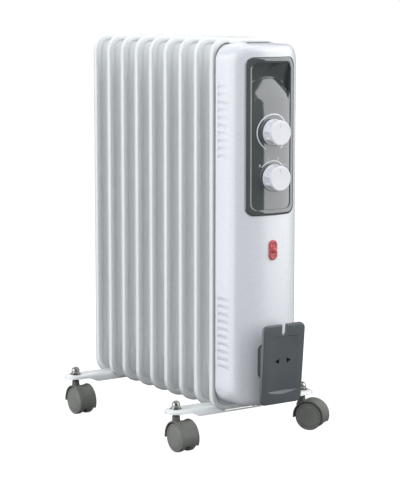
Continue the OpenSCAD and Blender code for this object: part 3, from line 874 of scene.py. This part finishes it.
# (radius, height proud of the bow's foremost line) over the eye in the middle of the lens
EYE_PROFILE = [
    (4.9, 1.9), (4.9, 2.4), (4.7, 3.4), (4.2, 4.4), (3.3, 5.2), (2.0, 5.8), (0.7, 6.0),
]
LENS_HALF = 7.2
LENS_HALF_H = 15.0
LENS_CORNER = 7.15
RIB_COUNT = 3
RIB_START = 7.2
RIB_PITCH = 1.9
# half width, half height and corner radius of a rib
RIB_SIZE = (3.2, 0.55, 0.5)
# (inset, height proud of the bow's foremost line) up a rib
RIB_PROFILE = [(0, 2.0), (0, 2.5), (0.2, 2.7)]


def lens_rib(mid):
    """One moulded rib across the lens at height mid."""
    half, half_h, corner = RIB_SIZE
    rings = []
    for inset, out in RIB_PROFILE:
        loop = rounded_loop(half - inset, mid - half_h + inset, mid + half_h - inset,
                            corner - inset, corner - inset, corner=3)
        rings.append([(x, FRONT - out, z) for x, z in loop])
    return loft("rib", rings)


def make_lamp():
    """The red lens: an oval frame, an eye over the lamp and ribs above and below it."""
    rings = []
    for inset, out in LENS_PROFILE:
        loop = rounded_loop(LENS_HALF - inset, LAMP_Z - LENS_HALF_H + inset,
                            LAMP_Z + LENS_HALF_H - inset, LENS_CORNER - inset,
                            LENS_CORNER - inset, corner=10)
        rings.append([(x, FRONT - out, z) for x, z in loop])
    frame_part = loft("lens_frame", rings)
    eye = lathe("eye", EYE_PROFILE, lambda u, v, w: (u, FRONT - w, LAMP_Z + v), steps=40)
    bars = [lens_rib(LAMP_Z + side * (RIB_START + RIB_PITCH * k))
            for side in (-1, 1) for k in range(RIB_COUNT)]
    lamp = join("lamp_lens", [frame_part, eye] + bars)
    dress(lamp, "red_lens", "radiator", "pilot_lamp_lens")


# ------------------------------------------------------------------ cord winder

CORE_HALF = 23.0
CORE_LOW = 110.5
CORE_HIGH = 160.5
CORE_CORNER = 8.0
CORE_WALL = 2.5
CORE_FLANGE = 1.5
# distances proud of the bow of the flange's front, its rear edge and the core's seat
FLANGE_FRONT = 2.4
FLANGE_EDGE = 1.9
CORE_SEAT = 0.35
CORE_REACH = 4.0
WINDER_POSTS = (123.5, 155.5)
NOTCH_HALF = 3.75
NOTCH_DEPTH = 16.2
NOTCH_LIP = 1.2
PLATE_CORNER = 9.0
# (distance from the middle, height) of the corners of a plug-parking hole in the plate
PIN_HOLE = [(6.7, 0.7), (6.7, 9.3), (14.7, 5.0)]
# (inset from the outline, depth behind the face) round the plate's edge
PLATE_PROFILE = [(2.4, 0.0), (1.5, 0.12), (0.7, 0.6), (0.2, 1.4), (0.0, 2.4), (0.0, 5.0),
                 (0.4, 5.7), (1.1, 6.0)]
SCOOP_HALF = 27.0
SCOOP_DEPTH = 2.8
SCOOP_SILL = -40.6
# (height of the circle's centre, radius) of the scoop's top and foot arcs
SCOOP_TOP = (-54.0, 98.0)
SCOOP_FOOT = (40.0, 85.0)
# height of the sloping edge at the scoop's top
SCOOP_SLOPE = 1.7
# height above the sill and share of the depth at the scoop's waist, and the share at its top
SCOOP_WAIST = 30.0
WAIST_SHARE = 0.6
TOP_SHARE = 0.35
HAIR = 0.05
LEAST_DEPTH = 0.02
POST_RADIUS = 4.0
POST_FLARE = (4.6, 1.5)
POST_SEAT = 0.4
PILOT_HOLE = (1.6, 8.0)


def winder_outline(inset):
    """Outline of the plate with its cord notch, in the plate's own (x, z)."""
    half = WINDER_HALF_W - inset
    high = WINDER_HALF_H - inset
    radius = PLATE_CORNER - inset
    slot = NOTCH_HALF + inset
    foot = WINDER_HALF_H - NOTCH_DEPTH + NOTCH_HALF
    lip = NOTCH_LIP
    points = []

    def arc(cx, cz, r, start, stop, steps):
        for k in range(steps + 1):
            a = math.radians(start + (stop - start) * k / steps)
            points.append((cx + r * math.cos(a), cz + r * math.sin(a)))

    arc(half - radius, -high + radius, radius, -90, 0, 8)
    arc(half - radius, high - radius, radius, 0, 90, 8)
    arc(slot + lip, high - lip, lip, 90, 180, 4)
    arc(0, foot, slot, 0, -180, 14)
    arc(-slot - lip, high - lip, lip, 0, 90, 4)
    arc(-half + radius, high - radius, radius, 90, 180, 8)
    arc(-half + radius, -high + radius, radius, 180, 270, 8)
    return points


def plate_point(x, depth, z):
    """A point of the leaning plate in the row frame."""
    c = math.cos(WINDER_LEAN)
    s = math.sin(WINDER_LEAN)
    wide = x * (1 + WINDER_TAPER * z)
    return (wide, WINDER_FACE + depth * c - z * s, WINDER_MID_Z + depth * s + z * c)


def scoop_cutter():
    """A shallow scoop, deepest in the middle, with a crescent at its top and its foot."""
    columns = 36
    rings = []
    for k in range(columns + 1):
        x = -SCOOP_HALF + 2 * SCOOP_HALF * k / columns
        swell = 1 - (x / SCOOP_HALF) ** 2
        depth = SCOOP_DEPTH * swell + LEAST_DEPTH
        top = SCOOP_TOP[0] + math.sqrt(SCOOP_TOP[1] ** 2 - x * x)
        foot = SCOOP_FOOT[0] - math.sqrt(SCOOP_FOOT[1] ** 2 - x * x)
        top_in = top - SCOOP_SLOPE * swell - HAIR
        foot_in = SCOOP_SILL + HAIR
        section = [(-1.0, foot), (0.0, foot), (depth, foot_in),
                   (depth * WAIST_SHARE, foot_in + SCOOP_WAIST), (depth * TOP_SHARE, top_in),
                   (0.0, top), (-1.0, top)]
        rings.append([plate_point(x, d, z) for d, z in section])
    return loft("scoop", rings)


def prism(name, outline, low, high):
    """A straight prism between two depths of the leaning plate."""
    return loft(name, [[plate_point(x, d, z) for x, z in outline] for d in (low, high)])


def core_loop(grow):
    """Outline of the core, grown outwards or drawn in."""
    corner = CORE_CORNER + grow
    return rounded_loop(CORE_HALF + grow, CORE_LOW - grow, CORE_HIGH + grow, corner, corner,
                        end=16)


def make_winder():
    """The leaning plate on its hollow core, with two screw posts inside."""
    rings = [[plate_point(x, depth, z) for x, z in winder_outline(inset)]
             for inset, depth in PLATE_PROFILE]
    plate = loft("plate", rings)
    cutters = [scoop_cutter()]
    for side in (-1, 1):
        outline = [(side * x, z) for x, z in PIN_HOLE]
        cutters.append(prism("pin_hole", outline, -2.0, WINDER_SHEET + 2))
    cut(plate, cutters)
    outer = core_loop(0.0)
    inner = core_loop(-CORE_WALL)
    flange = core_loop(CORE_FLANGE)
    near = WINDER_FACE + CORE_REACH
    core = loft("core", [
        [(x, near, z) for x, z in outer],
        on_bow(outer, FLANGE_FRONT),
        on_bow(flange, FLANGE_EDGE),
        on_bow(flange, CORE_SEAT),
        on_bow(inner, CORE_SEAT),
        [(x, near, z) for x, z in inner],
    ], closed=True)
    foot, flare = POST_FLARE
    bore, bore_depth = PILOT_HOLE
    seat = FRONT - POST_SEAT
    profile = [(foot, near), (POST_RADIUS, near + flare), (POST_RADIUS, seat), (bore, seat),
               (bore, FRONT - bore_depth)]
    posts = [lathe("post", profile, lambda u, v, w, c=z: (u, w, c + v), steps=24)
             for z in WINDER_POSTS]
    winder = join("winder", [plate, core] + posts, 20)
    dress(winder, "winder_grey", "radiator", "cord_winder")


# ------------------------------------------------------------------ feet

FLANGE_STEP = (84.0, 103.0)
FLANGE_END = 55.5
NOTCH_CLEAR = 0.3
# start and end of the rim's notch along the row, from the fin's seam plane
NOTCH_SPAN = (-25.3, 5.3)
# (inset, share of the flange's drop) over the top, down the flange and back inside
BRACKET_PROFILE = [
    (15.5, 0.0), (9.0, 0.0), (6.0, 0.02), (4.0, 0.07), (2.3, 0.17), (1.1, 0.32), (0.45, 0.5),
    (0.25, 0.7), (0.12, 0.86), (0.0, 0.93), (0.25, 0.99), (0.9, 1.0), (1.5, 0.97), (1.9, 0.9),
    (2.2, 0.6), (3.0, 0.36), (4.6, 0.22), (7.0, 0.17), (15.5, 0.17),
]


def bracket_low(x):
    """Foot of the bracket's flange, which rises towards the casters."""
    near, far = FLANGE_STEP
    share = min(max((abs(x) - near) / (far - near), 0.0), 1.0)
    return BRACKET_LOW + (FLANGE_END - BRACKET_LOW) * ease(share)


def bracket_plan(inset):
    """Plan of the bracket: straight sides and half-round ends, closely stepped along x."""
    radius = BRACKET_HALF - inset
    steps = 48
    turns = 16
    points = []
    for side in (1, -1):
        for k in range(steps + 1):
            points.append((side * (-STEM_X + 2 * STEM_X * k / steps), -side * radius))
        for k in range(1, turns):
            a = math.radians(-90 * side + 180 * k / turns)
            points.append((side * STEM_X + radius * math.cos(a), radius * math.sin(a)))
    return points


def make_bracket(name, side, fin_index):
    """A pressed foot with a rolled flange, notched for the rim of one fin."""
    rings = []
    for inset, share in BRACKET_PROFILE:
        ring = []
        for x, y in bracket_plan(inset):
            drop = (BRACKET_TOP - bracket_low(x)) * share
            ring.append((x, side * BRACKET_Y + y, BRACKET_TOP - drop))
        rings.append(ring)
    bracket = loft(name, rings, angle=40)
    seam = fin_y(fin_index)
    outline = rounded_loop(FIN_HALF_WIDTH + NOTCH_CLEAR, FIN_LOW - NOTCH_CLEAR, FIN_HIGH,
                           FIN_CORNER + NOTCH_CLEAR, FIN_CORNER + NOTCH_CLEAR)
    cut(bracket, [loft("rim_notch", [[(x, seam + y, z) for x, z in outline]
                                     for y in NOTCH_SPAN])])
    dress(bracket, "white_enamel", "radiator", name + "_foot_bracket")


def hexagon(a, flat):
    """Radius of a hexagon of that flat radius at angle a."""
    turn = (a + math.pi / 6) % (math.pi / 3) - math.pi / 6
    return flat / math.cos(turn)


NUT_FLAT = 6.45
# (height, largest radius that the chamfer leaves) up the hexagon
NUT_LEVELS = [(0.0, 6.9), (0.4, 7.5), (2.6, 7.5), (3.2, 6.8), (3.4, 5.8)]
DOME_RADIUS = 6.6
DOME_CENTRE = 5.9
# first angle and sweep of the ball's outline above the hexagon
DOME_START = -35
DOME_SWEEP = 124
# (radius, height) round the washer under the nut
WASHER_PROFILE = [(4.0, 0.0), (9.2, 0.0), (9.4, 0.125), (9.2, 0.45), (4.0, 0.5)]


def nut_ring(height, limit):
    """One chamfered hexagon of the nut, standing on the bracket's top."""
    steps = 48
    ring = []
    for k in range(steps):
        a = 2 * math.pi * k / steps
        radius = min(hexagon(a, NUT_FLAT), limit)
        ring.append((radius * math.cos(a), radius * math.sin(a), BRACKET_TOP + height))
    return ring


def make_nuts():
    """Four domed cap nuts with washers, over the caster stems."""
    parts = []
    dome = [(DOME_RADIUS * math.cos(t), DOME_CENTRE + DOME_RADIUS * math.sin(t))
            for t in (math.radians(DOME_START + DOME_SWEEP * k / 14) for k in range(15))]
    for x0, y0, _ in CASTERS.values():
        rings = [[(x0 + x, y0 + y, z) for x, y, z in nut_ring(height, limit)]
                 for height, limit in NUT_LEVELS]
        parts.append(loft("hex", rings, angle=25))
        for name, profile in (("dome", dome), ("washer", WASHER_PROFILE)):
            parts.append(lathe(name, profile, lambda u, v, w, x=x0, y=y0:
                               (x + u, y + v, BRACKET_TOP + w), steps=40))
    nuts = join("dome_nuts", parts, 25)
    dress(nuts, "chrome_nut", "radiator", "cap_nuts")


# ------------------------------------------------------------------ casters

HOOD_HALF = 14.8
HOOD_FRONT = -25.0
HOOD_REAR = 187.0
# (radius, height) up the neck that holds the stem
NECK_PROFILE = [
    (4.4, 34.0), (8.8, 37.6), (7.4, 40.6), (6.4, 43.4), (5.9, 46.0), (5.8, 50.3), (5.4, 51.1),
    (4.0, 51.3),
]
WEB_RADIUS = 23.3
WEB_FOOT = 7.5
WEB_HALF = 1.9
WHEEL_GAP_HALF = 2.5
# (share of the half width, outer radius) across the hood, and the same line inside
HOOD_SECTION = [
    (-1.0, 24.7), (-0.985, 25.3), (-0.95, 25.5), (-0.88, 25.3), (-0.76, 24.6), (-0.6, 24.2),
    (-0.3, 24.0), (0.0, 23.9), (0.3, 24.0), (0.6, 24.2), (0.76, 24.6), (0.88, 25.3),
    (0.95, 25.5), (0.985, 25.3), (1.0, 24.7), (1.0, 23.4), (0.5, 22.85), (0.0, 22.8),
    (-0.5, 22.85), (-1.0, 23.4),
]


def caster_point(spot, x, y, z):
    """From a caster's own frame, with its stem at the origin, to the row frame."""
    turn = math.radians(spot[2])
    return (spot[0] + x * math.cos(turn) - y * math.sin(turn),
            spot[1] + x * math.sin(turn) + y * math.cos(turn), z)


def hood_angles(steps):
    """Angles in radians round the wheel, from the hood's front edge to its rear edge."""
    return [math.radians(HOOD_FRONT + (HOOD_REAR - HOOD_FRONT) * k / steps)
            for k in range(steps + 1)]


def make_hood(name, spot):
    """Fender over both wheels, the neck of the stem and the web between the wheels."""
    rings = []
    for a in hood_angles(44):
        rings.append([caster_point(spot, share * HOOD_HALF, -TRAIL - r * math.cos(a),
                                   WHEEL_RADIUS + r * math.sin(a))
                      for share, r in HOOD_SECTION])
    shell = loft("shell", rings, angle=40)
    socket = lathe("socket", NECK_PROFILE, lambda u, v, w: caster_point(spot, u, v, w),
                   steps=32)
    web = [(-TRAIL - WEB_RADIUS * math.cos(a), WHEEL_RADIUS + WEB_RADIUS * math.sin(a))
           for a in hood_angles(30)]
    web.append((-TRAIL, WHEEL_RADIUS - WEB_FOOT))
    plate = loft("web", [[caster_point(spot, x, y, z) for y, z in web]
                         for x in (-WEB_HALF, WEB_HALF)])
    hood = join(name + "_fender", [shell, socket, plate], 40)
    dress(hood, "caster_grey", name + "_swivel", name + "_hood")


# (radius, distance from the wheel's inner face) over the tread and the side disc
WHEEL_PROFILE = [
    (3.1, 9.0), (3.1, 0.0), (17.0, 0.0), (19.2, 0.2), (20.4, 0.8), (21.2, 1.8), (21.7, 3.2),
    (21.9, 5.0), (21.9, 8.8), (21.7, 9.9), (21.2, 10.8), (20.4, 11.3), (19.2, 11.45), (18.5, 11.3),
    (18.1, 10.9), (17.7, 10.85), (17.3, 11.2), (16.6, 11.5), (12.0, 11.8), (6.0, 12.0),
    (0.6, 12.05),
]


def make_wheel(name, spot, side):
    """One of a caster's two wheels, side -1 or 1 of the web."""
    tag = "a" if side < 0 else "b"
    wheel = lathe(f"{name}_tyre_{tag}", WHEEL_PROFILE, lambda u, v, w: caster_point(
        spot, side * (WHEEL_GAP_HALF + w), -TRAIL + u, WHEEL_RADIUS + v), steps=72)
    body = f"{name}_wheel_left" if side < 0 else f"{name}_wheel_right"
    dress(wheel, "caster_wheel_grey", body, f"{name}_wheel_{tag}")


def make_casters():
    """A hood and two wheels at each corner."""
    for name, spot in CASTERS.items():
        make_hood(name, spot)
        for side in (-1, 1):
            make_wheel(name, spot, side)


# ------------------------------------------------------------------ run

finishes = make_finishes()
for entry in frame["record"]["subparts"]:
    node = frame["nodes"][entry["node"]]
    node.data.materials.clear()
    node.data.materials.append(finishes[entry["material_slot"]])

bpy.context.scene.view_settings.view_transform = "Standard"
make_camera()
make_world()
make_lights()
make_floor()
make_fins()
make_housing()
make_panel()
make_knob("upper_knob", THERMOSTAT_Z, "thermostat_dial", "thermostat_knob")
make_knob("lower_knob", SELECTOR_Z, "selector_dial", "selector_knob")
make_dial_marks()
make_lamp()
make_winder()
make_bracket("front", -1, 0)
make_bracket("rear", 1, 7)
make_nuts()
make_casters()
